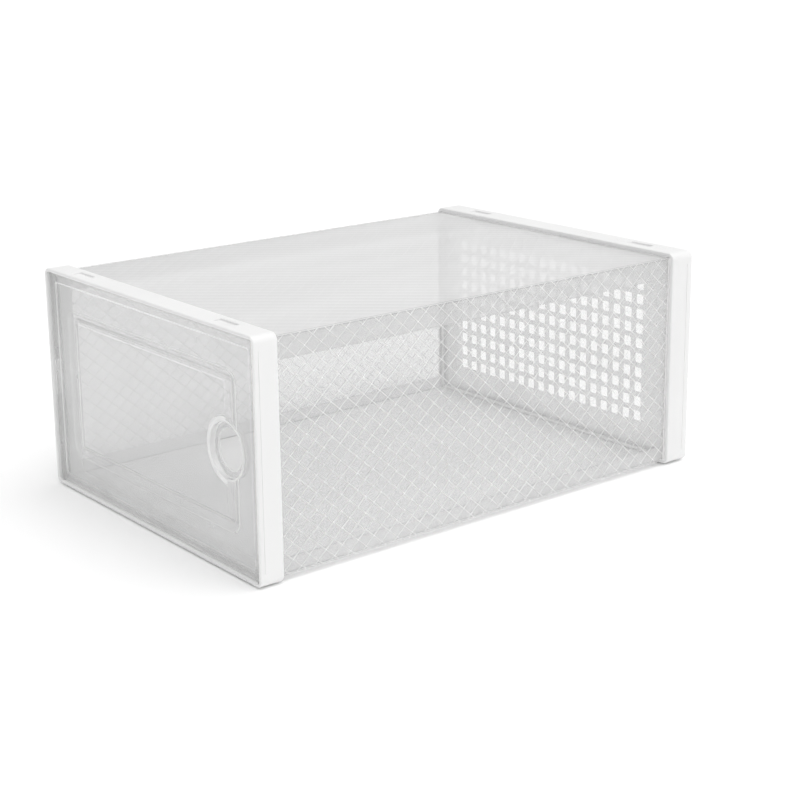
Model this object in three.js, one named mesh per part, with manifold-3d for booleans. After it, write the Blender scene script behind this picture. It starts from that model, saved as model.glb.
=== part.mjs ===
// Drop-front shoe box: two moulded sleeve frames joined by four thin sheets,
// with a vented back panel and a clear swinging door.
// Millimetres. +Z up, the door faces -Y, origin at the bottom centre.
import * as THREE from 'three';
import { mergeGeometries, mergeVertices } from 'three/addons/utils/BufferGeometryUtils.js';
import Module from 'manifold-3d';

const wasm = await Module();
wasm.setup();

// ---------------------------------------------------------------- dimensions
const WIDTH = 230;              // X, over the frames
const LENGTH = 335;             // Y, over the frames
const HEIGHT = 140;             // Z, over the feet
const FOOT_H = 0.8;             // stacking feet below the frames
const CORNER_R = 4.5;           // frames' outer corners
const FRONT_DEPTH = 15.5;       // front frame along Y
const REAR_DEPTH = 18;          // rear frame along Y
const WALL = 2.0;               // frame wall around the door recess
const LIP_IN = 5.2;             // inset of the clear opening inside both frames
const RECESS_DEPTH = 7.0;       // front plane to the door stop
const REAR_RECESS_DEPTH = 9.5;  // rear plane to the web behind the sheet slots
const SLOT_OUT = 2.5;           // sheet slot, inset of its outer wall
const SLOT_IN = 3.9;            // sheet slot, inset of its inner wall
const SLOT_DEPTH = 6.5;         // how far the slots run into each frame
const SHEET_T = 0.8;            // all four sheets
const SHEET_IN = 2.8;           // inset of the sheets' outer faces
const GAP = 0.3;                // running and fitting clearance
const TOP_FLANGE = 12.6;        // down-turned edges of the top sheet
const BOTTOM_FLANGE = 8.6;      // up-turned edges of the bottom sheet
const STACK_X = 78;             // centres of the stacking recesses and feet
const STACK_LEN = 19;
const STACK_WID = 6;
const STACK_DEEP = 1.1;
const DOOR_GAP = 0.7;           // around the door
const DOOR_FACE = 2.5;          // door's main face behind the front plane
const DOOR_T = 1.4;
const DOOR_RIM = 5.3;           // raised border of the door
const DOOR_RIM_UP = 0.6;
const DOOR_BACK = 6.2;          // depth of the door's flange and rib
const BEAD_UP = 0.5;            // raised band on the door
const BEAD_OUT = [93, 46.3];    // half sizes of the band's outer outline
const BEAD_IN = [82, 39.2];     // half sizes of its inner outline
const BEAD_R = 8;
const RIB = [87, 41.2];         // half sizes of the stiffening rib behind it
const RIB_T = 1.2;
const CUP_X = 82.5;             // finger cup centre
const CUP_R = 16;               // cup's inside wall
const CUP_WALL = 1.4;
const CUP_FLOOR = 4.8;          // cup floor's front face behind the front plane
const HOLE_R = 11.75;           // finger hole through the cup floor
const PAD_R = 20;               // half-round pad beside the cup
const PIN_X = 110.3;            // hinge axis, from the middle
const PIN_IN = 3.3;             // hinge axis behind the front plane
const BARREL_R = 2.1;
const PIN_R = 1.3;
const PIN_HOLE_R = 1.6;
const CATCH_H = 22;             // catch pockets in the posts
const VENT_T = 1.5;
const VENT_Y = 150.4;           // vent panel's inner face
const VENT_IN = 5.5;            // inset of its outline
const VENT_COLS = 18;
const VENT_ROWS = 10;
const VENT_PX = 10.15;
const VENT_PZ = 9.8;
const VENT_RISE = 1.1;           // the hole field sits this much above the panel's middle
const VENT_HOLE = 6.6;
const SHOULDER_IN = 7.4;        // shoulder behind the vent panel

const X1 = WIDTH / 2;
const YF = -LENGTH / 2;
const YR = LENGTH / 2;
const Z0 = FOOT_H;
const Z1 = HEIGHT;
const ZC = (Z0 + Z1) / 2;
const FRONT_BACK = YF + FRONT_DEPTH;
const REAR_FRONT = YR - REAR_DEPTH;

// ------------------------------------------------------------------- helpers
function roundedPoints(x0, x1, z0, z1, r, seg = 5) {
  const pts = [];
  if (r <= 0) {
    return [[x0, z0], [x1, z0], [x1, z1], [x0, z1]].map(([x, z]) => new THREE.Vector2(x, z));
  }
  const corners = [[x1 - r, z0 + r, -90], [x1 - r, z1 - r, 0], [x0 + r, z1 - r, 90], [x0 + r, z0 + r, 180]];
  for (const [cx, cz, a0] of corners) {
    for (let i = 0; i <= seg; i++) {
      const a = THREE.MathUtils.degToRad(a0 + (90 * i) / seg);
      pts.push(new THREE.Vector2(cx + r * Math.cos(a), cz + r * Math.sin(a)));
    }
  }
  return pts;
}

// A rounded rectangle inset from the frames' outline.
const inset = (s, r, seg) => roundedPoints(-X1 + s, X1 - s, Z0 + s, Z1 - s, r, seg);
// A rounded rectangle centred on the door, from its half sizes.
const centred = ([hx, hz], r, seg) => roundedPoints(-hx, hx, ZC - hz, ZC + hz, r, seg);

function solid(geometry) {
  const g = geometry.clone();
  g.deleteAttribute('normal');
  g.deleteAttribute('uv');
  const m = mergeVertices(g, 1e-5);
  const tris = m.index.array;
  const keep = [];
  for (let i = 0; i < tris.length; i += 3) {
    const [a, b, c] = [tris[i], tris[i + 1], tris[i + 2]];
    if (a !== b && b !== c && c !== a) keep.push(a, b, c);
  }
  return new wasm.Manifold(new wasm.Mesh({
    numProp: 3,
    vertProperties: new Float32Array(m.attributes.position.array),
    triVerts: new Uint32Array(keep),
  }));
}

// Outline in X and Z, extruded from y0 to y1.
function slabY(points, y0, y1, holes = []) {
  const shape = new THREE.Shape(points);
  for (const h of holes) shape.holes.push(new THREE.Path(h));
  const g = new THREE.ExtrudeGeometry(shape, { depth: y1 - y0, bevelEnabled: false });
  g.rotateX(Math.PI / 2);
  g.translate(0, y1, 0);
  return solid(g);
}

function box(x0, x1, y0, y1, z0, z1) {
  const g = new THREE.BoxGeometry(x1 - x0, y1 - y0, z1 - z0);
  g.translate((x0 + x1) / 2, (y0 + y1) / 2, (z0 + z1) / 2);
  return solid(g);
}

// Cylinder along Z, for the barrel, its pins and their holes.
function rodZ(x, y, r, z0, z1, seg = 20) {
  const g = new THREE.CylinderGeometry(r, r, z1 - z0, seg);
  g.rotateX(Math.PI / 2);
  g.translate(x, y, (z0 + z1) / 2);
  return solid(g);
}

// Cylinder along Y, for the finger cup.
function discY(x, z, r, y0, y1, seg = 56) {
  const g = new THREE.CylinderGeometry(r, r, y1 - y0, seg);
  g.translate(x, (y0 + y1) / 2, z);
  return solid(g);
}

const union = (list) => list.reduce((a, b) => a.add(b));
const cut = (a, list) => list.reduce((s, b) => s.subtract(b), a);

const FINISH = {
  frame_white: { color: 0xf2f2f1, roughness: 0.38, metalness: 0 },
  door_clear: { color: 0xdfe3e4, roughness: 0.12, metalness: 0 },
  sheet_clear: { color: 0xd4d7d8, roughness: 0.22, metalness: 0 },
  sheet_frosted: { color: 0xe1e2e2, roughness: 0.5, metalness: 0 },
  vent_milky: { color: 0xd6d8d8, roughness: 0.42, metalness: 0 },
};

const shoeBox = new THREE.Group();

function piece(name, manifold, finish) {
  const mesh = manifold.getMesh();
  const g = new THREE.BufferGeometry();
  const pos = new Float32Array((mesh.vertProperties.length / mesh.numProp) * 3);
  for (let i = 0, j = 0; i < mesh.vertProperties.length; i += mesh.numProp, j += 3) {
    pos[j] = mesh.vertProperties[i];
    pos[j + 1] = mesh.vertProperties[i + 1];
    pos[j + 2] = mesh.vertProperties[i + 2];
  }
  g.setAttribute('position', new THREE.BufferAttribute(pos, 3));
  g.setIndex(new THREE.BufferAttribute(new Uint32Array(mesh.triVerts), 1));
  g.computeVertexNormals();
  const out = new THREE.Mesh(g, new THREE.MeshStandardMaterial(FINISH[finish]));
  out.name = name;
  shoeBox.add(out);
}

// Stacking feet under a frame and the recesses they drop into on the next box.
function stackingCuts(y) {
  return [-STACK_X, STACK_X].map((x) => box(
    x - STACK_LEN / 2, x + STACK_LEN / 2, y - STACK_WID / 2, y + STACK_WID / 2, Z1 - STACK_DEEP, Z1 + 1));
}
function stackingFeet(y) {
  return [-STACK_X, STACK_X].map((x) => box(
    x - STACK_LEN / 2 + GAP, x + STACK_LEN / 2 - GAP, y - STACK_WID / 2 + GAP, y + STACK_WID / 2 - GAP, 0, Z0 + 0.4));
}

// -------------------------------------------------------------- front frame
{
  const stop = YF + RECESS_DEPTH;
  let f = slabY(inset(0, CORNER_R, 6), YF, FRONT_BACK);
  f = union([f, ...stackingFeet(YF + 7.5)]);
  const pinHoles = [-PIN_X, PIN_X].flatMap((x) => [
    rodZ(x, YF + PIN_IN, PIN_HOLE_R, Z0 + WALL - 1.3, Z0 + WALL + 1, 18),
    rodZ(x, YF + PIN_IN, PIN_HOLE_R, Z1 - WALL - 1, Z1 - WALL + 1.3, 18),
  ]);
  const pockets = [-1, 1].map((s) => box(
    Math.min(s * (X1 - WALL - 1), s * (X1 - WALL + 0.7)), Math.max(s * (X1 - WALL - 1), s * (X1 - WALL + 0.7)),
    YF + 2.5, YF + 6.1, ZC - CATCH_H / 2, ZC + CATCH_H / 2));
  f = cut(f, [
    slabY(inset(WALL, 1.2, 3), YF - 1, stop),
    slabY(inset(LIP_IN, 1.5, 3), YF - 2, FRONT_BACK + 1),
    slabY(inset(SLOT_OUT, 0), FRONT_BACK - SLOT_DEPTH, FRONT_BACK + 1, [inset(SLOT_IN, 0)]),
    ...stackingCuts(YF + 7.5),
    ...pinHoles,
    ...pockets,
  ]);
  piece('front_frame', f, 'frame_white');
}

// --------------------------------------------------------------- rear frame
{
  const web = YR - REAR_RECESS_DEPTH;
  let f = slabY(inset(0, CORNER_R, 6), REAR_FRONT, YR);
  f = union([f, ...stackingFeet(YR - 9)]);
  f = cut(f, [
    slabY(inset(WALL, 1.2, 3), web, YR + 1),
    slabY(inset(LIP_IN, 1.5, 3), REAR_FRONT - 1, YR + 2),
    slabY(inset(SLOT_OUT, 0), REAR_FRONT - 1, REAR_FRONT + SLOT_DEPTH, [inset(SLOT_IN, 0)]),
    ...stackingCuts(YR - 9),
  ]);
  // Shoulder that the vent panel rests against, and the nubs that hold it there.
  const sy = VENT_Y + VENT_T + GAP + 0.1;
  const nubs = [];
  for (const x of [-55, 55]) {
    nubs.push(box(x - 4, x + 4, REAR_FRONT + 0.1, REAR_FRONT + 0.6, Z0 + LIP_IN - 0.3, Z0 + LIP_IN + 0.7));
    nubs.push(box(x - 4, x + 4, REAR_FRONT + 0.1, REAR_FRONT + 0.6, Z1 - LIP_IN - 0.7, Z1 - LIP_IN + 0.3));
  }
  for (const s of [-1, 1]) {
    const xa = s * (X1 - LIP_IN + 0.3);
    const xb = s * (X1 - LIP_IN - 0.7);
    nubs.push(box(Math.min(xa, xb), Math.max(xa, xb), REAR_FRONT + 0.1, REAR_FRONT + 0.6, ZC - 4, ZC + 4));
  }
  f = union([
    f,
    slabY(inset(LIP_IN - 0.4, 1.5, 3), sy, sy + 2, [inset(SHOULDER_IN, 1.5, 3)]),
    ...nubs,
  ]);
  piece('rear_frame', f, 'frame_white');
}

// --------------------------------------------------------------- vent panel
{
  const punches = [];
  for (let i = 0; i < VENT_COLS; i++) {
    for (let j = 0; j < VENT_ROWS; j++) {
      const g = new THREE.BoxGeometry(VENT_HOLE, VENT_T + 2, VENT_HOLE);
      g.translate((i - (VENT_COLS - 1) / 2) * VENT_PX, VENT_Y + VENT_T / 2, ZC + VENT_RISE + (j - (VENT_ROWS - 1) / 2) * VENT_PZ);
      punches.push(g);
    }
  }
  const plate = slabY(inset(VENT_IN, 1.2, 3), VENT_Y, VENT_Y + VENT_T);
  piece('rear_vent_panel', plate.subtract(solid(mergeGeometries(punches))), 'vent_milky');
}

// ------------------------------------------------------------------- sheets
{
  const y0 = FRONT_BACK - SLOT_DEPTH + GAP;      // sheet ends inside the slots
  const y1 = REAR_FRONT + SLOT_DEPTH - GAP;
  const fy0 = FRONT_BACK + 0.6;                  // flange ends, clear of the frames
  const fy1 = REAR_FRONT - 0.6;
  const xo = X1 - SHEET_IN;                      // side sheets' outer face
  const xi = xo - SHEET_T;
  const xe = xi - GAP;                           // top and bottom sheets' edges
  const zb = Z0 + SHEET_IN;
  const zt = Z1 - SHEET_IN;

  piece('left_side_panel', box(-xo, -xi, y0, y1, zb, zt), 'sheet_clear');
  piece('right_side_panel', box(xi, xo, y0, y1, zb, zt), 'sheet_clear');
  piece('top_panel', union([
    box(-xe, xe, y0, y1, zt - SHEET_T, zt),
    box(-xe, -xe + SHEET_T, fy0, fy1, zt - SHEET_T - TOP_FLANGE, zt - SHEET_T / 2),
    box(xe - SHEET_T, xe, fy0, fy1, zt - SHEET_T - TOP_FLANGE, zt - SHEET_T / 2),
  ]), 'sheet_frosted');
  piece('bottom_panel', union([
    box(-xe, xe, y0, y1, zb, zb + SHEET_T),
    box(-xe, -xe + SHEET_T, fy0, fy1, zb + SHEET_T / 2, zb + SHEET_T + BOTTOM_FLANGE),
    box(xe - SHEET_T, xe, fy0, fy1, zb + SHEET_T / 2, zb + SHEET_T + BOTTOM_FLANGE),
  ]), 'sheet_frosted');
}

// --------------------------------------------------------------------- door
{
  const face = YF + DOOR_FACE;
  const back = face + DOOR_T;
  const deep = YF + DOOR_BACK;
  const dx1 = X1 - WALL - DOOR_GAP;
  const dz0 = Z0 + WALL + DOOR_GAP;
  const dz1 = Z1 - WALL - DOOR_GAP;
  const outline = roundedPoints(-PIN_X, dx1, dz0, dz1, 0);
  const ay = YF + PIN_IN;

  const body = [
    slabY(outline, face, back),
    // raised border
    slabY(outline, face - DOOR_RIM_UP, face + 0.5,
      [roundedPoints(-PIN_X + 3.3, dx1 - DOOR_RIM, dz0 + DOOR_RIM, dz1 - DOOR_RIM, 2, 3)]),
    // flange behind the top, bottom and free edges
    slabY([[-PIN_X, dz0], [dx1, dz0], [dx1, dz1], [-PIN_X, dz1], [-PIN_X, dz1 - 1.4],
      [dx1 - 1.4, dz1 - 1.4], [dx1 - 1.4, dz0 + 1.4], [-PIN_X, dz0 + 1.4]].map(([x, z]) => new THREE.Vector2(x, z)),
      back - 0.5, deep),
    // hinge barrel and pins
    rodZ(-PIN_X, ay, BARREL_R, dz0, dz1, 24),
    rodZ(-PIN_X, ay, PIN_R, dz0 - 1.5, dz0 + 1, 18),
    rodZ(-PIN_X, ay, PIN_R, dz1 - 1, dz1 + 1.5, 18),
    // raised band, and the half-round pad beside the cup
    slabY(centred(BEAD_OUT, BEAD_R, 5), face - BEAD_UP, face + 0.5, [centred(BEAD_IN, 0)]),
    discY(CUP_X, ZC, PAD_R, face - BEAD_UP, face + 0.4).subtract(box(CUP_X, CUP_X + 40, YF, YF + 20, 0, Z1)),
    // stiffening rib behind the band
    slabY(centred([RIB[0] + RIB_T / 2, RIB[1] + RIB_T / 2], 1.5, 3), back - 0.4, deep,
      [centred([RIB[0] - RIB_T / 2, RIB[1] - RIB_T / 2], 0)]),
    // finger cup
    discY(CUP_X, ZC, CUP_R + CUP_WALL, face - DOOR_RIM_UP, deep),
    // catch tab on the free edge
    box(dx1 - 0.5, dx1 + 0.35, YF + 3.4, YF + 5.4, ZC - 5, ZC + 5),
  ];
  const door = cut(union(body), [
    discY(CUP_X, ZC, CUP_R, YF - 1, YF + CUP_FLOOR),
    discY(CUP_X, ZC, HOLE_R, YF - 2, YF + 10, 48),
  ]);
  piece('door', door, 'door_clear');
}

export default shoeBox;
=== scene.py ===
import math

import bmesh
import bpy
from mathutils import Matrix, Vector


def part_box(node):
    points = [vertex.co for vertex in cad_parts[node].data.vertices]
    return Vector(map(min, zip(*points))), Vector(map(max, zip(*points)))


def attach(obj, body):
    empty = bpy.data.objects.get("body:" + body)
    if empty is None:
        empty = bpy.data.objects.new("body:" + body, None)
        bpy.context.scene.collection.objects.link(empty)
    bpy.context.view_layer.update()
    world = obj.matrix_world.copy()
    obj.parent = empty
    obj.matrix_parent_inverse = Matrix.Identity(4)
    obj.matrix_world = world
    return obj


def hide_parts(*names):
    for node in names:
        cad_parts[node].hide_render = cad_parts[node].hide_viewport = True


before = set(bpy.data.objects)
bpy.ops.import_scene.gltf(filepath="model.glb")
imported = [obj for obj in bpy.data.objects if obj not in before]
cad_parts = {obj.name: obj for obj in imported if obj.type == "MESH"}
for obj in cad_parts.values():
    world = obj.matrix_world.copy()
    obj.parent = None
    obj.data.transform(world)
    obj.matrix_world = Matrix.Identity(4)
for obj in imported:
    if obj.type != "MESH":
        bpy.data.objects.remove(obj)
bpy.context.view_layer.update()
MM = 0.001

# ------------------------------------------------------------------ measures
# All in millimetres, in the row frame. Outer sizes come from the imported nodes.


def mm_box(node):
    lo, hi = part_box(node)
    return [round(c * 1000, 3) for c in lo], [round(c * 1000, 3) for c in hi]


(FLO, FHI), (RLO, RHI) = mm_box("front_frame"), mm_box("rear_frame")
(VLO, VHI), (TLO, THI) = mm_box("rear_vent_panel"), mm_box("top_panel")
(BLO, BHI), (SLO, SHI) = mm_box("bottom_panel"), mm_box("right_side_panel")
DLO, DHI = mm_box("door")
X1 = FHI[0]
Z1 = FHI[2]
Z0 = FLO[2] + 0.8          # underside of the frames, above the feet
ZC = (Z0 + Z1) / 2
YF, YR = FLO[1], RHI[1]
FRONT_BACK, REAR_FRONT = FHI[1], RLO[1]
STOP = YF + 7.0
LIP = 5.2


# ------------------------------------------------------------------- helpers
def fillet(points, radii, seg=4):
    """A closed 2D outline with each corner rounded by its radius."""
    out = []
    n = len(points)
    for i, (p, r) in enumerate(zip(points, radii)):
        p = Vector(p)
        a, b = Vector(points[i - 1]), Vector(points[(i + 1) % n])
        u, v = (a - p).normalized(), (b - p).normalized()
        if r <= 0:
            out.append((p.x, p.y))
            continue
        ang = math.acos(max(-1, min(1, u.dot(v))))
        if ang > math.pi - 1e-3:
            out.append((p.x, p.y))
            continue
        d = r / math.tan(ang / 2)
        c = p + (u + v).normalized() * (r / math.sin(ang / 2))
        s, e = p + u * d, p + v * d
        a0 = math.atan2(s.y - c.y, s.x - c.x)
        a1 = math.atan2(e.y - c.y, e.x - c.x)
        da = (a1 - a0 + math.pi) % (2 * math.pi) - math.pi
        for k in range(seg + 1):
            t = a0 + da * k / seg
            out.append((c.x + r * math.cos(t), c.y + r * math.sin(t)))
    return out


def rect_loop(x0, x1, z0, z1, r, n=7):
    """Rounded rectangle in X and Z, always 4 * (n + 1) points."""
    r = max(r, 0.02)
    pts = []
    for cx, cz, a0 in ((x1 - r, z0 + r, -90), (x1 - r, z1 - r, 0), (x0 + r, z1 - r, 90), (x0 + r, z0 + r, 180)):
        for i in range(n + 1):
            a = math.radians(a0 + 90 * i / n)
            pts.append((cx + r * math.cos(a), cz + r * math.sin(a)))
    return pts


def circle_loop(cx, cz, r, n=96):
    return [(cx + r * math.cos(2 * math.pi * i / n), cz + r * math.sin(2 * math.pi * i / n)) for i in range(n)]


def skin(loops, close, cap=False):
    """Quads between loops of 3D points with equal counts. close joins the last loop to the first; cap closes both ends."""
    bm = bmesh.new()
    rows = [[bm.verts.new(Vector(p) * MM) for p in loop] for loop in loops]
    m = len(rows[0])
    pairs = list(zip(rows, rows[1:])) + ([(rows[-1], rows[0])] if close else [])
    for a, b in pairs:
        for i in range(m):
            j = (i + 1) % m
            bm.faces.new((a[i], a[j], b[j], b[i]))
    if cap:
        bm.faces.new(rows[0])
        bm.faces.new(rows[-1])
    bmesh.ops.recalc_face_normals(bm, faces=bm.faces)
    return bm


def sweep(profile, loop_of):
    """A closed cross-section of (offset, y) carried round the loop that loop_of(offset) gives in X and Z."""
    return skin([[(x, y, z) for x, z in loop_of(s)] for s, y in profile], close=True)


def frame_loop(s, n=7):
    r = 4.5 - 1.5 * s if s < 2 else 1.5
    return rect_loop(-X1 + s, X1 - s, Z0 + s, Z1 - s, r, n)


def mesh_object(name, bm, mats=()):
    me = bpy.data.meshes.new(name)
    bm.to_mesh(me)
    bm.free()
    ob = bpy.data.objects.new(name, me)
    bpy.context.scene.collection.objects.link(ob)
    for m in mats:
        me.materials.append(m)
    return ob


def block(x0, x1, y0, y1, z0, z1, r=0.0, axis="z", chamfer=0.0, n=4):
    """A rounded block, its corners rounded in the plane across axis and its ends chamfered outwards by chamfer."""
    if axis == "z":
        base = lambda g: [(x, y) for x, y in rect_loop(x0 - g, x1 + g, y0 - g, y1 + g, r + g, n)]
        put = lambda p, t: (p[0], p[1], t)
        t0, t1 = z0, z1
    elif axis == "x":
        base = lambda g: [(y, z) for y, z in rect_loop(y0 - g, y1 + g, z0 - g, z1 + g, r + g, n)]
        put = lambda p, t: (t, p[0], p[1])
        t0, t1 = x0, x1
    else:
        base = lambda g: [(x, z) for x, z in rect_loop(x0 - g, x1 + g, z0 - g, z1 + g, r + g, n)]
        put = lambda p, t: (p[0], t, p[1])
        t0, t1 = y0, y1
    if chamfer:
        loops = [[put(p, t0) for p in base(-chamfer)], [put(p, t0 + chamfer) for p in base(0)],
                 [put(p, t1 - chamfer) for p in base(0)], [put(p, t1) for p in base(-chamfer)]]
    else:
        loops = [[put(p, t0) for p in base(0)], [put(p, t1) for p in base(0)]]
    return skin(loops, close=False, cap=True)


def rod(cx, cy, profile, n=40):
    """Turned solid about a vertical axis, from (radius, z) pairs."""
    loops = [[(cx + r * math.cos(2 * math.pi * i / n), cy + r * math.sin(2 * math.pi * i / n), z) for i in range(n)]
             for r, z in profile]
    return skin(loops, close=False, cap=True)


def joined(bms):
    out = bmesh.new()
    for b in bms:
        me = bpy.data.meshes.new("tmp")
        b.to_mesh(me)
        b.free()
        out.from_mesh(me)
        bpy.data.meshes.remove(me)
    return out


def boolean(target, tool_bm, op):
    """Applies one boolean to target, in place."""
    tool = mesh_object("tool", tool_bm)
    mod = target.modifiers.new("b", "BOOLEAN")
    mod.operation = op
    mod.solver = "MANIFOLD"
    mod.object = tool
    dg = bpy.context.evaluated_depsgraph_get()
    dg.update()
    me = bpy.data.meshes.new_from_object(target.evaluated_get(dg))
    target.modifiers.clear()
    old = target.data
    target.data = me
    me.name = target.name
    bpy.data.meshes.remove(old)
    data = tool.data
    bpy.data.objects.remove(tool)
    bpy.data.meshes.remove(data)
    if len(me.polygons) < 4:
        raise RuntimeError(f"boolean {op} on {target.name} left nothing")
    return target


def tidy(ob, angle=30.0, merge=0.00001):
    """Merges loose doubles and sets smooth shading that breaks at real edges."""
    bm = bmesh.new()
    bm.from_mesh(ob.data)
    bmesh.ops.remove_doubles(bm, verts=bm.verts, dist=merge * 0.5)
    bmesh.ops.dissolve_degenerate(bm, edges=bm.edges, dist=merge * 0.2)
    bmesh.ops.recalc_face_normals(bm, faces=bm.faces)
    lim = math.radians(angle)
    for f in bm.faces:
        f.smooth = True
    for e in bm.edges:
        e.smooth = len(e.link_faces) == 2 and e.calc_face_angle(0) < lim
    bm.to_mesh(ob.data)
    bm.free()
    return ob


def place(ob, body, slot, *nodes):
    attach(ob, body)
    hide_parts(*nodes)
    return ob


# ----------------------------------------------------------------- materials
def new_material(name):
    m = bpy.data.materials.new(name)
    m.use_nodes = True
    nt = m.node_tree
    nt.nodes.clear()
    out = nt.nodes.new("ShaderNodeOutputMaterial")
    return m, nt, out


def noise(nt, coord, scale, detail=3.0, rough=0.55, stretch=None):
    if stretch:
        mp = nt.nodes.new("ShaderNodeMapping")
        mp.inputs["Scale"].default_value = stretch
        nt.links.new(coord, mp.inputs["Vector"])
        coord = mp.outputs["Vector"]
    n = nt.nodes.new("ShaderNodeTexNoise")
    n.inputs["Scale"].default_value = scale
    n.inputs["Detail"].default_value = detail
    n.inputs["Roughness"].default_value = rough
    nt.links.new(coord, n.inputs["Vector"])
    return n.outputs["Fac"]


def remap(nt, value, lo, hi, a=0.0, b=1.0):
    r = nt.nodes.new("ShaderNodeMapRange")
    r.inputs["From Min"].default_value = a
    r.inputs["From Max"].default_value = b
    r.inputs["To Min"].default_value = lo
    r.inputs["To Max"].default_value = hi
    nt.links.new(value, r.inputs["Value"])
    return r.outputs["Result"]


def ramp(nt, value, c0, c1, p0=0.35, p1=0.65):
    r = nt.nodes.new("ShaderNodeValToRGB")
    r.color_ramp.elements[0].position = p0
    r.color_ramp.elements[0].color = (*c0, 1)
    r.color_ramp.elements[1].position = p1
    r.color_ramp.elements[1].color = (*c1, 1)
    nt.links.new(value, r.inputs["Fac"])
    return r.outputs["Color"]


def bump(nt, height, strength, distance):
    b = nt.nodes.new("ShaderNodeBump")
    b.inputs["Strength"].default_value = strength
    b.inputs["Distance"].default_value = distance
    nt.links.new(height, b.inputs["Height"])
    return b.outputs["Normal"]


def moulded_plastic(name, light, dark, rough, grain=0.00002, sss=0.0):
    """Opaque injection-moulded plastic: fine mould grain, slow sheen changes, slight flow marks."""
    m, nt, out = new_material(name)
    tc = nt.nodes.new("ShaderNodeTexCoord").outputs["Object"]
    slow = noise(nt, tc, 22.0, 2.0)
    fine = noise(nt, tc, 2600.0, 2.0, 0.6)
    p = nt.nodes.new("ShaderNodeBsdfPrincipled")
    nt.links.new(ramp(nt, slow, dark, light), p.inputs["Base Color"])
    mixr = nt.nodes.new("ShaderNodeMath")
    mixr.operation = "ADD"
    nt.links.new(remap(nt, slow, rough - 0.05, rough + 0.05, 0.3, 0.7), mixr.inputs[0])
    nt.links.new(remap(nt, fine, -0.04, 0.04, 0.3, 0.7), mixr.inputs[1])
    nt.links.new(mixr.outputs[0], p.inputs["Roughness"])
    p.inputs["IOR"].default_value = 1.49
    if sss:
        p.inputs["Subsurface Weight"].default_value = sss
        p.inputs["Subsurface Radius"].default_value = (1.0, 1.0, 1.0)
        p.inputs["Subsurface Scale"].default_value = 0.0015
    nt.links.new(bump(nt, fine, 0.25, grain), p.inputs["Normal"])
    nt.links.new(p.outputs[0], out.inputs["Surface"])
    return m


def film_plastic(name, tint, veil, veil_light, veil_dark, gloss_rough, grain, grain_scale=900.0,
                 through=0.5, stretch=None, vary=0.15, gloss=1.0):
    """See-through plastic: a tinted clear film, a milky haze in it that scatters light both ways, and a glossy skin."""
    m, nt, out = new_material(name)
    tc = nt.nodes.new("ShaderNodeTexCoord").outputs["Object"]
    slow = noise(nt, tc, 30.0, 3.0, 0.5, stretch)
    fine = noise(nt, tc, grain_scale, 2.0, 0.6)
    nrm = bump(nt, fine, 0.3, grain)
    clear = nt.nodes.new("ShaderNodeBsdfTransparent")
    nt.links.new(ramp(nt, slow, [c * 0.985 for c in tint], tint), clear.inputs["Color"])
    dif = nt.nodes.new("ShaderNodeBsdfDiffuse")
    tra = nt.nodes.new("ShaderNodeBsdfTranslucent")
    colour = ramp(nt, slow, veil_dark, veil_light)
    for b in (dif, tra):
        nt.links.new(colour, b.inputs["Color"])
        nt.links.new(nrm, b.inputs["Normal"])
    haze = nt.nodes.new("ShaderNodeMixShader")
    haze.inputs["Fac"].default_value = through
    nt.links.new(dif.outputs[0], haze.inputs[1])
    nt.links.new(tra.outputs[0], haze.inputs[2])
    body = nt.nodes.new("ShaderNodeMixShader")
    nt.links.new(remap(nt, slow, veil * (1 - vary), min(1.0, veil * (1 + vary)), 0.3, 0.7), body.inputs["Fac"])
    nt.links.new(clear.outputs[0], body.inputs[1])
    nt.links.new(haze.outputs[0], body.inputs[2])
    # the glossy skin, by Schlick's rule, the same from both sides
    lw = nt.nodes.new("ShaderNodeLayerWeight")
    lw.inputs["Blend"].default_value = 0.5
    pw = nt.nodes.new("ShaderNodeMath")
    pw.operation = "POWER"
    pw.inputs[1].default_value = 5.0
    nt.links.new(lw.outputs["Facing"], pw.inputs[0])
    skin_fac = remap(nt, pw.outputs[0], 0.04 * gloss, gloss)
    gl = nt.nodes.new("ShaderNodeBsdfGlossy")
    gl.inputs["Color"].default_value = (0.96, 0.96, 0.96, 1)
    nt.links.new(remap(nt, slow, gloss_rough * 0.85, gloss_rough * 1.15, 0.3, 0.7), gl.inputs["Roughness"])
    nt.links.new(nrm, gl.inputs["Normal"])
    top = nt.nodes.new("ShaderNodeMixShader")
    nt.links.new(skin_fac, top.inputs["Fac"])
    nt.links.new(body.outputs[0], top.inputs[1])
    nt.links.new(gl.outputs[0], top.inputs[2])
    nt.links.new(top.outputs[0], out.inputs["Surface"])
    return m


FRAME = moulded_plastic("frame_white", (0.85, 0.85, 0.847), (0.838, 0.838, 0.836), 0.34, sss=0.1)
GREY = lambda v: (v, v, v)
SHEET = film_plastic("sheet_clear", GREY(0.94), 0.13, GREY(0.95), GREY(0.93), 0.2, 0.00002, stretch=(1.0, 0.15, 1.0))
LINE = film_plastic("sheet_line", GREY(0.97), 0.50, GREY(0.98), GREY(0.96), 0.25, 0.00001)
KNOT = film_plastic("sheet_knot", GREY(0.97), 0.64, GREY(0.985), GREY(0.965), 0.25, 0.00001)
CUT = film_plastic("sheet_cut_edge", GREY(0.95), 0.75, GREY(0.97), GREY(0.94), 0.35, 0.00002)
MARGIN = film_plastic("sheet_margin", GREY(0.95), 0.85, GREY(0.95), GREY(0.93), 0.25, 0.00002, through=0.15, vary=0.05)
FROST_MARGIN = film_plastic("frosted_margin", GREY(0.985), 0.85, GREY(0.95), GREY(0.93), 0.42, 0.00003, through=0.15,
                            vary=0.05, gloss=0.8)
FROST = film_plastic("sheet_frosted", GREY(0.985), 0.42, GREY(0.93), GREY(0.915), 0.42, 0.00003,
                     stretch=(1.0, 0.15, 1.0), through=0.62, vary=0.04, gloss=0.8)
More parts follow.
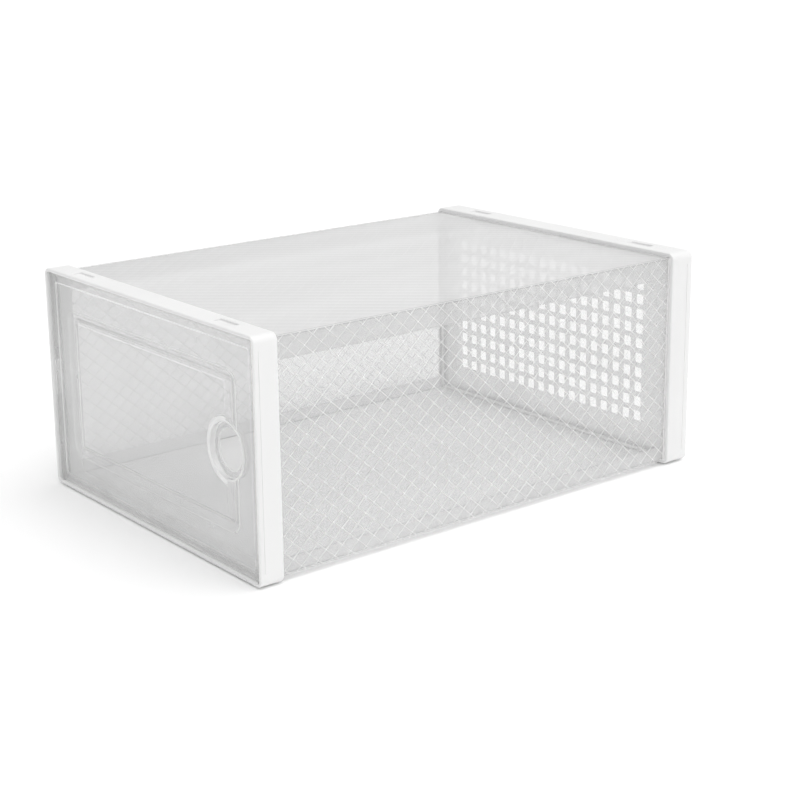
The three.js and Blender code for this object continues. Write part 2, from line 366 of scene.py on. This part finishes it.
FROST_LINE = film_plastic("frosted_line", GREY(0.985), 0.425, GREY(0.931), GREY(0.916), 0.42, 0.00003, through=0.62,
                          vary=0.04, gloss=0.8)
# painted light: brighter copies of the frosted sheet for the bottom, standing in for light that doesn't reach the
# enclosed floor of the box
BASE_PAINTED_LIGHT = film_plastic("base_frosted_painted_light", GREY(0.995), 0.40, GREY(0.99), GREY(0.985), 0.42, 0.00003, stretch=(1.0, 0.15, 1.0),
                    through=0.5, vary=0.04, gloss=0.8)
BASE_LINE_PAINTED_LIGHT = film_plastic("base_line_painted_light", GREY(0.995), 0.41, GREY(0.99), GREY(0.985), 0.42, 0.00003, through=0.5, vary=0.04,
                         gloss=0.8)
# painted shade: a darker, greyer frosted copy for the sheet bends, standing in for the shadow line along the fold
FOLD_PAINTED_SHADE = film_plastic("frosted_fold_painted_shade", GREY(0.86), 0.45, GREY(0.74), GREY(0.70), 0.3, 0.00002, vary=0.05, gloss=0.8)
DOOR = film_plastic("door_clear", GREY(0.90), 0.24, GREY(0.93), GREY(0.91), 0.07, 0.00001, vary=0.1)
# painted highlight: whiter, more opaque veils on faces the door shows edge-on stand in for the grazing reflection of
# clear plastic; the glossy layer on top is real reflection
DOOR_EDGE_PAINTED_HIGHLIGHT = film_plastic("door_edge_painted_highlight", GREY(0.97), 0.60, GREY(0.99), GREY(0.98), 0.14, 0.00001, through=0.4, gloss=3.0)
DOOR_RIM_PAINTED_HIGHLIGHT = film_plastic("door_rim_painted_highlight", GREY(0.97), 0.72, GREY(0.99), GREY(0.98), 0.1, 0.00001, through=0.25)
# painted shade: a darker, greyer clear copy for the hinge-side strip of the door, standing in for the shaded post
# behind it
DOOR_HINGE_PAINTED_SHADE = film_plastic("door_hinge_painted_shade", GREY(0.90), 0.25, GREY(0.86), GREY(0.82), 0.1, 0.00001)
VENT = film_plastic("vent_milky", GREY(0.93), 0.5, GREY(0.85), GREY(0.83), 0.3, 0.00003, through=0.5, vary=0.04)


# ------------------------------------------------------------------- sheets
PITCH_A, PITCH_B = 11.1, 9.85      # diamond, long way and short way
LINE_W, LINE_H = 0.66, 0.1


def embossed(a0, a1, b0, b1, phase, back, top, put, rise=LINE_H, margin=4):
    """A closed sheet over a0..a1 by b0..b1: raised diamond lines on its outer face at height top, plain at height back.
    put(a, b, h) gives the point in the row frame. Its ends, where the frames grip it, take the material slot margin."""
    pu = PITCH_A * PITCH_B / math.hypot(PITCH_A, PITCH_B)
    hw = LINE_W / 2 / pu
    offs = [(-hw, 0.0), (-0.5 * hw, 1.0), (0.5 * hw, 1.0), (hw, 0.0)]
    corners = [(a - phase[0], b - phase[1]) for a in (a0, a1) for b in (b0, b1)]
    us = [a / PITCH_A + b / PITCH_B for a, b in corners]
    vs = [a / PITCH_A - b / PITCH_B for a, b in corners]
    ug = [(k + o, h) for k in range(math.floor(min(us)) - 1, math.ceil(max(us)) + 2) for o, h in offs]
    vg = [(k + o, h) for k in range(math.floor(min(vs)) - 1, math.ceil(max(vs)) + 2) for o, h in offs]
    bm = bmesh.new()
    grid = {}
    pad = 9.0

    def vert(i, j):
        if (i, j) not in grid:
            (u, hu), (v, hv) = ug[i], vg[j]
            a = phase[0] + (u + v) * PITCH_A / 2
            b = phase[1] + (u - v) * PITCH_B / 2
            grid[i, j] = bm.verts.new((a, b, top + rise * max(hu, hv)))
        return grid[i, j]

    for i in range(len(ug) - 1):
        for j in range(len(vg) - 1):
            u, v = (ug[i][0] + ug[i + 1][0]) / 2, (vg[j][0] + vg[j + 1][0]) / 2
            a, b = phase[0] + (u + v) * PITCH_A / 2, phase[1] + (u - v) * PITCH_B / 2
            if a0 - pad < a < a1 + pad and b0 - pad < b < b1 + pad:
                f = bm.faces.new((vert(i, j), vert(i + 1, j), vert(i + 1, j + 1), vert(i, j + 1)))
                on_u, on_v = i % 4 < 3, j % 4 < 3
                f.material_index = 2 if on_u and on_v else 1 if on_u or on_v else 0
    for co, no in (((a0, 0, 0), (-1, 0, 0)), ((a1, 0, 0), (1, 0, 0)), ((0, b0, 0), (0, -1, 0)), ((0, b1, 0), (0, 1, 0))):
        bmesh.ops.bisect_plane(bm, geom=bm.verts[:] + bm.edges[:] + bm.faces[:], dist=1e-4, plane_co=co, plane_no=no,
                               clear_outer=True)
    ends = (FRONT_BACK + 0.9, REAR_FRONT - 1.3)
    for a in ends:
        bmesh.ops.bisect_plane(bm, geom=bm.verts[:] + bm.edges[:] + bm.faces[:], dist=1e-4, plane_co=(a, 0, 0),
                               plane_no=(1, 0, 0))
    bmesh.ops.remove_doubles(bm, verts=bm.verts, dist=1e-3)
    for f in bm.faces:
        if not ends[0] < f.calc_center_median().x < ends[1]:
            f.material_index = margin
    # close the rim and the back
    bm.verts.ensure_lookup_table()
    for v in bm.verts:
        if abs(v.co.x - a0) < 2e-3:
            v.co.x = a0
        if abs(v.co.x - a1) < 2e-3:
            v.co.x = a1
        if abs(v.co.y - b0) < 2e-3:
            v.co.y = b0
        if abs(v.co.y - b1) < 2e-3:
            v.co.y = b1
    rim = [e for e in bm.edges if len(e.link_faces) == 1]
    nxt = {}
    for e in rim:
        l = e.link_loops[0]
        nxt[l.link_loop_next.vert] = l.vert
    start = next(iter(nxt))
    ring = [start]
    while nxt[ring[-1]] is not start:
        ring.append(nxt[ring[-1]])
    low = {v: bm.verts.new((v.co.x, v.co.y, back)) for v in ring}
    for p, q in zip(ring, ring[1:] + ring[:1]):
        bm.faces.new((p, q, low[q], low[p])).material_index = 3
    bm.faces.new([low[v] for v in reversed(ring)])
    for v in bm.verts:
        v.co = Vector(put(*v.co)) * MM
    bmesh.ops.recalc_face_normals(bm, faces=bm.faces)
    return bm


def flat_shade(ob, angle=25.0):
    bm = bmesh.new()
    bm.from_mesh(ob.data)
    lim = math.radians(angle)
    for f in bm.faces:
        f.smooth = True
    for e in bm.edges:
        e.smooth = len(e.link_faces) == 2 and e.calc_face_angle(0) < lim
    bm.to_mesh(ob.data)
    bm.free()


SIDE_PHASE = (0.0, 70.4)
for side, node in ((1, "right_side_panel"), (-1, "left_side_panel")):
    bm = embossed(SLO[1], SHI[1], SLO[2], SHI[2], SIDE_PHASE, SLO[0], SHI[0] - 0.02,
                  lambda a, b, h, s=side: (s * h, a, b))
    ob = mesh_object(node.replace("_panel", "_sheet"), bm, (SHEET, LINE, KNOT, CUT, MARGIN))
    flat_shade(ob)
    place(ob, "shell", "sheet_clear", node)


def folded_sheet(name, node, zin, zout, zflange, lines, mats):
    """Top or bottom sheet: a flat panel with diamond emboss and two folded edges with a small bend."""
    (lo, hi) = mm_box(node)
    xe, t = hi[0], 0.8
    up = 1 if zout > zin else -1
    xi = xe - t
    bend = 1.4
    flat = xe - bend
    if lines:
        bm = embossed(lo[1], hi[1], -flat, flat, (0.0, 0.0), zin, zout - up * 0.02 if up > 0 else zout + 0.02,
                      lambda a, b, h: (b, a, h), 0.012, 5)
        for f in bm.faces:          # the crossings look like the lines here
            if f.material_index == 2:
                f.material_index = 1
    ob = mesh_object(name, bm, mats)
    fy0, fy1 = FRONT_BACK + 0.6, REAR_FRONT - 0.6
    parts = []
    for s in (-1, 1):
        # the bend and its flange as one bent strip
        arc_o = [(xe - bend + bend * math.sin(math.radians(a)), zout - up * (bend - bend * math.cos(math.radians(a))))
                 for a in range(0, 91, 10)]
        bi = bend - t
        arc_i = [(xe - bend + bi * math.sin(math.radians(a)), zout - up * (bend - bi * math.cos(math.radians(a))))
                 for a in range(90, -1, -10)]
        tip = [(xe, zflange + up * 0.25), (xe - 0.12, zflange + up * 0.07), (xe - 0.3, zflange),
               (xi + 0.3, zflange), (xi + 0.12, zflange + up * 0.07), (xi, zflange + up * 0.25)]
        prof = [(flat - 0.6, zout - up * 0.02)] + [(x, z - up * 0.02) if i < 1 else (x, z) for i, (x, z) in enumerate(arc_o)]
        prof += tip + arc_i + [(flat - 0.6, zin + up * 0.01)]
        loops = [[(s * x, y, z) for x, z in prof] for y in (fy0, fy1)]
        parts.append(skin(loops, close=False, cap=True))
    return ob, parts


def mark_fold_shade_and_cut_ends(ob, edge):
    """Gives the bends a darker frosted material, painted shade for the shadow line between top and side sheets, and the
    cut ends theirs.
    """
    for p in ob.data.polygons:
        c, n = p.center / MM, p.normal
        # the bends take the painted shade material, the cut ends facing front or back the cut edge one
        if edge - 1.35 < abs(c.x) and 0.25 < abs(n.x) < 0.97 and abs(n.y) < 0.2:
            p.material_index = 4
        elif abs(n.y) > 0.9:
            p.material_index = 3


# Top: frosted, bends inside the side sheets.
top, strips = folded_sheet("top_sheet", "top_panel", THI[2] - 0.8, THI[2], TLO[2], True, (FROST, FROST_LINE, KNOT, CUT, FOLD_PAINTED_SHADE, FROST_MARGIN))
for s in strips:
    boolean(top, s, "UNION")
tidy(top, 25, 0.0)
mark_fold_shade_and_cut_ends(top, THI[0])
place(top, "shell", "sheet_frosted", "top_panel")

# the bottom takes the brighter frosted copies, painted light
bottom, strips = folded_sheet("bottom_sheet", "bottom_panel", BLO[2] + 0.8, BLO[2], BHI[2], True,
                              (BASE_PAINTED_LIGHT, BASE_LINE_PAINTED_LIGHT, KNOT, CUT, FOLD_PAINTED_SHADE, FROST_MARGIN))
for s in strips:
    boolean(bottom, s, "UNION")
tidy(bottom, 25, 0.0)
mark_fold_shade_and_cut_ends(bottom, BHI[0])
place(bottom, "shell", "sheet_frosted", "bottom_panel")


# ------------------------------------------------------------------- frames
def stack_cutters(y):
    return [block(x - 9.5, x + 9.5, y - 3, y + 3, Z1 - 1.1, Z1 + 3, r=1.2, axis="z") for x in (-78, 78)]


def stack_flares(y):
    """Shallow flare that softens the rim of a stacking recess."""
    out = []
    for x in (-78, 78):
        loops = []
        for g, z in ((0.0, Z1 - 0.3), (0.12, Z1 - 0.08), (0.4, Z1 + 0.1), (0.4, Z1 + 1)):
            loops.append([(a, b, z) for a, b in rect_loop(x - 9.5 - g, x + 9.5 + g, y - 3 - g, y + 3 + g, 1.2 + g, 4)])
        out.append(skin(loops, close=False, cap=True))
    return out


def stack_feet(y):
    out = []
    for x in (-78, 78):
        loops = []
        for g, z in ((-0.35, 0.0), (-0.1, 0.08), (0.0, 0.3), (0.0, Z0 + 0.6)):
            loops.append([(a, b, z) for a, b in rect_loop(x - 9.2 - g * 0, x + 9.2, y - 2.7, y + 2.7, 1.0, 4)] if g == 0 else
                         [(a, b, z) for a, b in rect_loop(x - 9.2 - g, x + 9.2 + g, y - 2.7 - g, y + 2.7 + g, 1.0 + g, 4)])
        out.append(skin(loops, close=False, cap=True))
    return out


def groove(y, w=0.45, d=0.25):
    """A thin parting groove down both posts."""
    out = []
    for s in (-1, 1):
        xa, xb = (X1 - d, X1 + 1) if s > 0 else (-X1 - 1, -X1 + d)
        out.append(block(xa, xb, y - w / 2, y + w / 2, Z0 + 8, Z1 - 8, r=0.2, axis="x", n=3))
    return out


def front_frame():
    f = FRONT_BACK
    prof = fillet(
        [(0, YF), (0, f), (2.72, f), (2.72, f - 6.5), (3.68, f - 6.5), (3.68, f), (LIP, f), (LIP, STOP), (2.0, STOP), (2.0, YF)],
        [0.9, 0.9, 0.12, 0.1, 0.1, 0.12, 0.45, 0.45, 0.35, 0.55], 4)
    ob = mesh_object("front_bezel", sweep(prof, frame_loop), (FRAME,))
    y = YF + 7.5
    boolean(ob, joined(stack_feet(y)), "UNION")
    cuts = stack_cutters(y)
    boolean(ob, joined(cuts), "DIFFERENCE")
    boolean(ob, joined(stack_flares(y)), "DIFFERENCE")
    holes = []
    for x in (-110.3, 110.3):
        holes.append(rod(x, YF + 3.3, [(1.6, Z0 + 0.7), (1.6, Z0 + 1.75), (1.85, Z0 + 2.02), (1.9, Z0 + 3)], 32))
        holes.append(rod(x, YF + 3.3, [(1.9, Z1 - 3), (1.85, Z1 - 2.02), (1.6, Z1 - 1.75), (1.6, Z1 - 0.7)], 32))
    boolean(ob, joined(holes), "DIFFERENCE")
    pockets = []
    for s in (-1, 1):
        xa, xb = (X1 - 4, X1 - 1.3) if s > 0 else (-X1 + 1.3, -X1 + 4)
        pockets.append(block(xa, xb, YF + 2.5, YF + 6.1, ZC - 11, ZC + 11, r=0.8, axis="x", n=4))
    boolean(ob, joined(pockets), "DIFFERENCE")
    boolean(ob, joined(groove(YF + 3.0)), "DIFFERENCE")
    return tidy(ob)


def rear_frame():
    f = REAR_FRONT
    web = YR - 9.5
    sy = VHI[1] + 0.4
    prof = fillet(
        [(0, f), (0, YR), (2.0, YR), (2.0, web), (LIP, web), (LIP, sy + 2), (7.4, sy + 2), (7.4, sy), (LIP, sy), (LIP, f),
         (3.68, f), (3.68, f + 6.5), (2.72, f + 6.5), (2.72, f)],
        [0.9, 0.9, 0.55, 0.35, 0.45, 0.3, 0.4, 0.3, 0.15, 0.4, 0.12, 0.1, 0.1, 0.12], 4)
    ob = mesh_object("rear_bezel", sweep(prof, frame_loop), (FRAME,))
    y = YR - 9
    boolean(ob, joined(stack_feet(y)), "UNION")
    boolean(ob, joined(stack_cutters(y)), "DIFFERENCE")
    boolean(ob, joined(stack_flares(y)), "DIFFERENCE")
    boolean(ob, joined(groove(YR - 4.5)), "DIFFERENCE")
    nubs = []
    for x in (-55, 55):
        nubs.append(block(x - 4, x + 4, f + 0.1, f + 0.6, Z0 + LIP - 0.4, Z0 + LIP + 0.7, r=0.2, axis="x", n=3))
        nubs.append(block(x - 4, x + 4, f + 0.1, f + 0.6, Z1 - LIP - 0.7, Z1 - LIP + 0.4, r=0.2, axis="x", n=3))
    for s in (-1, 1):
        xa, xb = (X1 - LIP - 0.7, X1 - LIP + 0.4) if s > 0 else (-X1 + LIP - 0.4, -X1 + LIP + 0.7)
        nubs.append(block(xa, xb, f + 0.1, f + 0.6, ZC - 4, ZC + 4, r=0.2, axis="z", n=3))
    boolean(ob, joined(nubs), "UNION")
    return tidy(ob)


place(front_frame(), "shell", "frame_white", "front_frame")
place(rear_frame(), "shell", "frame_white", "rear_frame")


# --------------------------------------------------------------- vent panel
def vent_panel():
    y0, y1 = VLO[1], VHI[1]
    loops = []
    for g, y in ((0.3, y0), (0.1, y0 + 0.1), (0, y0 + 0.3), (0, y1 - 0.3), (0.1, y1 - 0.1), (0.3, y1)):
        loops.append([(x, y, z) for x, z in rect_loop(VLO[0] + g, VHI[0] - g, VLO[2] + g, VHI[2] - g, 1.5, 5)])
    ob = mesh_object("vent_grille", skin(loops, close=False, cap=True), (VENT,))
    punches = []
    for i in range(18):
        for j in range(10):
            x, z = (i - 8.5) * 10.15, ZC + 1.1 + (j - 4.5) * 9.8
            h = 3.3
            rings = []
            for g, y in ((0.5, y0 - 0.3), (0.22, y0 + 0.02), (0.06, y0 + 0.18), (0, y0 + 0.4), (0, y1 - 0.4),
                         (0.06, y1 - 0.18), (0.22, y1 - 0.02), (0.5, y1 + 0.3)):
                rings.append([(a, y, b) for a, b in rect_loop(x - h - g, x + h + g, z - h - g, z + h + g, 1.1 + g, 3)])
            punches.append(skin(rings, close=False, cap=True))
    boolean(ob, joined(punches), "DIFFERENCE")
    return tidy(ob)


place(vent_panel(), "shell", "vent_milky", "rear_vent_panel")


# --------------------------------------------------------------------- door
FACE = YF + 2.5
BACK = FACE + 1.4
DEEP = YF + 6.2
CUP = (82.5, ZC)
PIN_X, PIN_Y = -110.3, YF + 3.3
DX0, DX1 = PIN_X, X1 - 2.7
DZ0, DZ1 = Z0 + 2.7, Z1 - 2.7


def door():
    def outline(g, r):
        return rect_loop(DX0 + g, DX1 - g, DZ0 + g, DZ1 - g, max(r, 0.3), 6)

    # plate, raised border in front and flange behind, in one turned-over profile
    path = [(6.0, FACE, 1.5), (5.7, FACE - 0.08, 1.6), (5.2, FACE - 0.34, 1.8), (4.8, FACE - 0.56, 1.9),
            (4.5, FACE - 0.6, 2.0), (0.45, FACE - 0.6, 0.7), (0.15, FACE - 0.48, 0.8), (0.0, FACE - 0.2, 0.9),
            (0.0, DEEP - 0.35, 0.9), (0.1, DEEP - 0.1, 0.9), (0.35, DEEP, 0.7), (1.1, DEEP, 0.6), (1.32, DEEP - 0.1, 0.6),
            (1.42, DEEP - 0.35, 0.6), (1.5, BACK + 0.35, 0.6), (1.6, BACK + 0.1, 0.5), (1.85, BACK, 0.5)]
    loops = [[(x, y, z) for x, z in outline(g, r)] for g, y, r in path]
    ob = mesh_object("clear_door", skin(loops, close=False, cap=True), (DOOR, DOOR_EDGE_PAINTED_HIGHLIGHT, DOOR_HINGE_PAINTED_SHADE, DOOR_RIM_PAINTED_HIGHLIGHT))

    # hinge barrel and pins
    boolean(ob, rod(PIN_X, PIN_Y, [
        (1.0, DZ0 - 1.5), (1.3, DZ0 - 1.2), (1.3, DZ0), (1.9, DZ0), (2.1, DZ0 + 0.25), (2.1, ZC - 11.2), (1.95, ZC - 11.0),
        (1.95, ZC + 11.0), (2.1, ZC + 11.2), (2.1, DZ1 - 0.25), (1.9, DZ1), (1.3, DZ1), (1.3, DZ1 + 1.2),
        (1.0, DZ1 + 1.5)], 36), "UNION")

    # raised band: square inside, rounded outside
    def band(t, g):
        hx, hz = (82, 39.2) if t == 0 else (93, 46.3)
        r = 1.2 if t == 0 else 8.0
        return rect_loop(-hx - g, hx + g, ZC - hz - g, ZC + hz + g, r + g if t else max(r - g, 0.4), 8)
    ring = [(0, 0.0, FACE + 0.5), (0, 0.0, FACE - 0.06), (0, 0.3, FACE - 0.3), (0, 0.95, FACE - 0.5),
            (1, -0.95, FACE - 0.5), (1, -0.3, FACE - 0.3), (1, 0.0, FACE - 0.06), (1, 0.0, FACE + 0.5)]
    boolean(ob, skin([[(x, y, z) for x, z in band(t, g)] for t, g, y in ring], close=True), "UNION")

    # half-round pad beside the cup
    pad = []
    for g, y in ((0.0, FACE + 0.5), (0.0, FACE - 0.06), (-0.3, FACE - 0.29), (-1.0, FACE - 0.49)):
        r = 20.0 + g
        pts = [(CUP[0] + 6, CUP[1] + r), *[(CUP[0] + r * math.cos(math.radians(a)), CUP[1] + r * math.sin(math.radians(a)))
                                           for a in range(90, 271, 3)], (CUP[0] + 6, CUP[1] - r)]
        pad.append([(x, y, z) for x, z in pts])
    boolean(ob, skin(pad, close=False, cap=True), "UNION")

    # stiffening rib behind the band
    def rib(g):
        return rect_loop(-87 - g, 87 + g, ZC - 41.2 - g, ZC + 41.2 + g, 1.6 + g, 5)
    rp = [(-0.6, BACK - 0.5), (0.6, BACK - 0.5), (0.6, DEEP - 0.25), (0.5, DEEP - 0.07), (0.3, DEEP), (-0.3, DEEP),
          (-0.5, DEEP - 0.07), (-0.6, DEEP - 0.25)]
    boolean(ob, sweep(rp, rib), "UNION")

    # finger cup
    disc = [[(x, y, z) for x, z in circle_loop(*CUP, 16.7)] for y in (YF - 3, YF + 12)]
    boolean(ob, skin(disc, close=False, cap=True), "DIFFERENCE")
    prof = fillet([(11.75, DEEP), (11.75, YF + 4.8), (16.0, YF + 4.8), (16.0, FACE - 0.6), (17.4, FACE - 0.6), (17.4, DEEP)],
                  [0.45, 0.45, 0.5, 0.45, 0.45, 0.4], 5)
    boolean(ob, sweep(prof, lambda r: circle_loop(*CUP, r)), "UNION")

    # catch tab on the free edge
    boolean(ob, block(DX1 - 0.5, DX1 + 0.35, YF + 3.4, YF + 5.4, ZC - 5, ZC + 5, r=0.6, axis="x", chamfer=0.12, n=4), "UNION")
    tidy(ob)
    me = ob.data
    for p in me.polygons:
        c = p.center / MM
        r = math.hypot(c.x - CUP[0], c.z - CUP[1])
        rim = min(c.x - DX0, DX1 - c.x, c.z - DZ0, DZ1 - c.z)
        # the cup's walls take the whiter edge material, painted highlight
        if r < 17.6 and (r > 15.95 and c.y < FACE or r < 12.6):
            p.material_index = 1
        # the hinge-side strip takes the darker material, painted shade; the barrel's outer face near mid height takes
        # the edge one
        elif c.x - DX0 < 2.3:
            p.material_index = 1 if abs(c.z - ZC) < 11.2 and c.x < DX0 + 0.3 else 2
        # the rim's edge-on faces and the other sloped faces take the whiter materials, painted highlight for grazing
        # reflection
        elif rim < 1.9 and abs(p.normal.y) < 0.9:
            p.material_index = 3
        elif abs(p.normal.y) < 0.955:
            p.material_index = 1
        else:
            p.material_index = 0
    return ob


place(door(), "door", "door_clear", "door")


# -------------------------------------------------------------- stage, light
def floor():
    bm = bmesh.new()
    n, size = 40, 40.0
    vs = {}
    for i in range(n + 1):
        for j in range(n + 1):
            vs[i, j] = bm.verts.new(((i / n - 0.5) * size, (j / n - 0.5) * size, 0.0))
    for i in range(n):
        for j in range(n):
            bm.faces.new((vs[i, j], vs[i + 1, j], vs[i + 1, j + 1], vs[i, j + 1]))
    m, nt, out = new_material("floor_pale")
    tc = nt.nodes.new("ShaderNodeTexCoord").outputs["Object"]
    d = nt.nodes.new("ShaderNodeBsdfDiffuse")
    nt.links.new(ramp(nt, noise(nt, tc, 3.0, 2.0), (0.97, 0.97, 0.97), (0.98, 0.98, 0.98)), d.inputs["Color"])
    nt.links.new(d.outputs[0], out.inputs["Surface"])
    ob = mesh_object("floor", bm, (m,))
    return ob


floor()
world = bpy.data.worlds.new("studio")
bpy.context.scene.world = world
world.use_nodes = True
wt = world.node_tree
bg = wt.nodes["Background"]
bg.inputs["Color"].default_value = (1, 1, 1, 1)
dirs = wt.nodes.new("ShaderNodeTexCoord").outputs["Generated"]
dot = wt.nodes.new("ShaderNodeVectorMath")
dot.operation = "DOT_PRODUCT"
dot.inputs[1].default_value = Vector((0.3, 0.8, 0.3)).normalized()
wt.links.new(dirs, dot.inputs[0])
fall = wt.nodes.new("ShaderNodeMapRange")
fall.interpolation_type = "SMOOTHSTEP"
fall.inputs["From Min"].default_value = -0.9
fall.inputs["From Max"].default_value = 1.0
fall.inputs["To Min"].default_value = 0.47
fall.inputs["To Max"].default_value = 0.8
wt.links.new(dot.outputs["Value"], fall.inputs["Value"])
wt.links.new(fall.outputs["Result"], bg.inputs["Strength"])

sun_data = bpy.data.lights.new("overhead", "SUN")
sun_data.energy = 1.5
sun_data.angle = math.radians(60)
sun = bpy.data.objects.new("overhead", sun_data)
bpy.context.scene.collection.objects.link(sun)
sun.rotation_mode = "QUATERNION"
sun.rotation_quaternion = Vector((-0.3, -0.05, -1.0)).to_track_quat("-Z", "Y")

# ------------------------------------------------------------------- camera
cam_data = bpy.data.cameras.new("camera")
cam = bpy.data.objects.new("camera", cam_data)
bpy.context.scene.collection.objects.link(cam)
right = Vector((0.62645755, 0.77938424, -0.01054295))
down = Vector((0.18923352, -0.16519667, -0.96793633))
ahead = Vector((-0.75613598, 0.60437594, -0.25097432))
cam.matrix_world = Matrix((
    (right.x, -down.x, -ahead.x, 0.80776375),
    (right.y, -down.y, -ahead.y, -0.62454318),
    (right.z, -down.z, -ahead.z, 0.35207997),
    (0, 0, 0, 1)))
cam_data.sensor_width = 36.0
cam_data.lens = 1665.5213 / 800 * 36.0
cam_data.shift_y = -60.0 / 800
cam_data.clip_start, cam_data.clip_end = 0.05, 30.0
bpy.context.scene.camera = cam

scene = bpy.context.scene
scene.view_settings.view_transform = "Standard"
scene.view_settings.look = "None"
scene.cycles.transparent_max_bounces = 32
scene.cycles.max_bounces = 16
scene.cycles.diffuse_bounces = 12
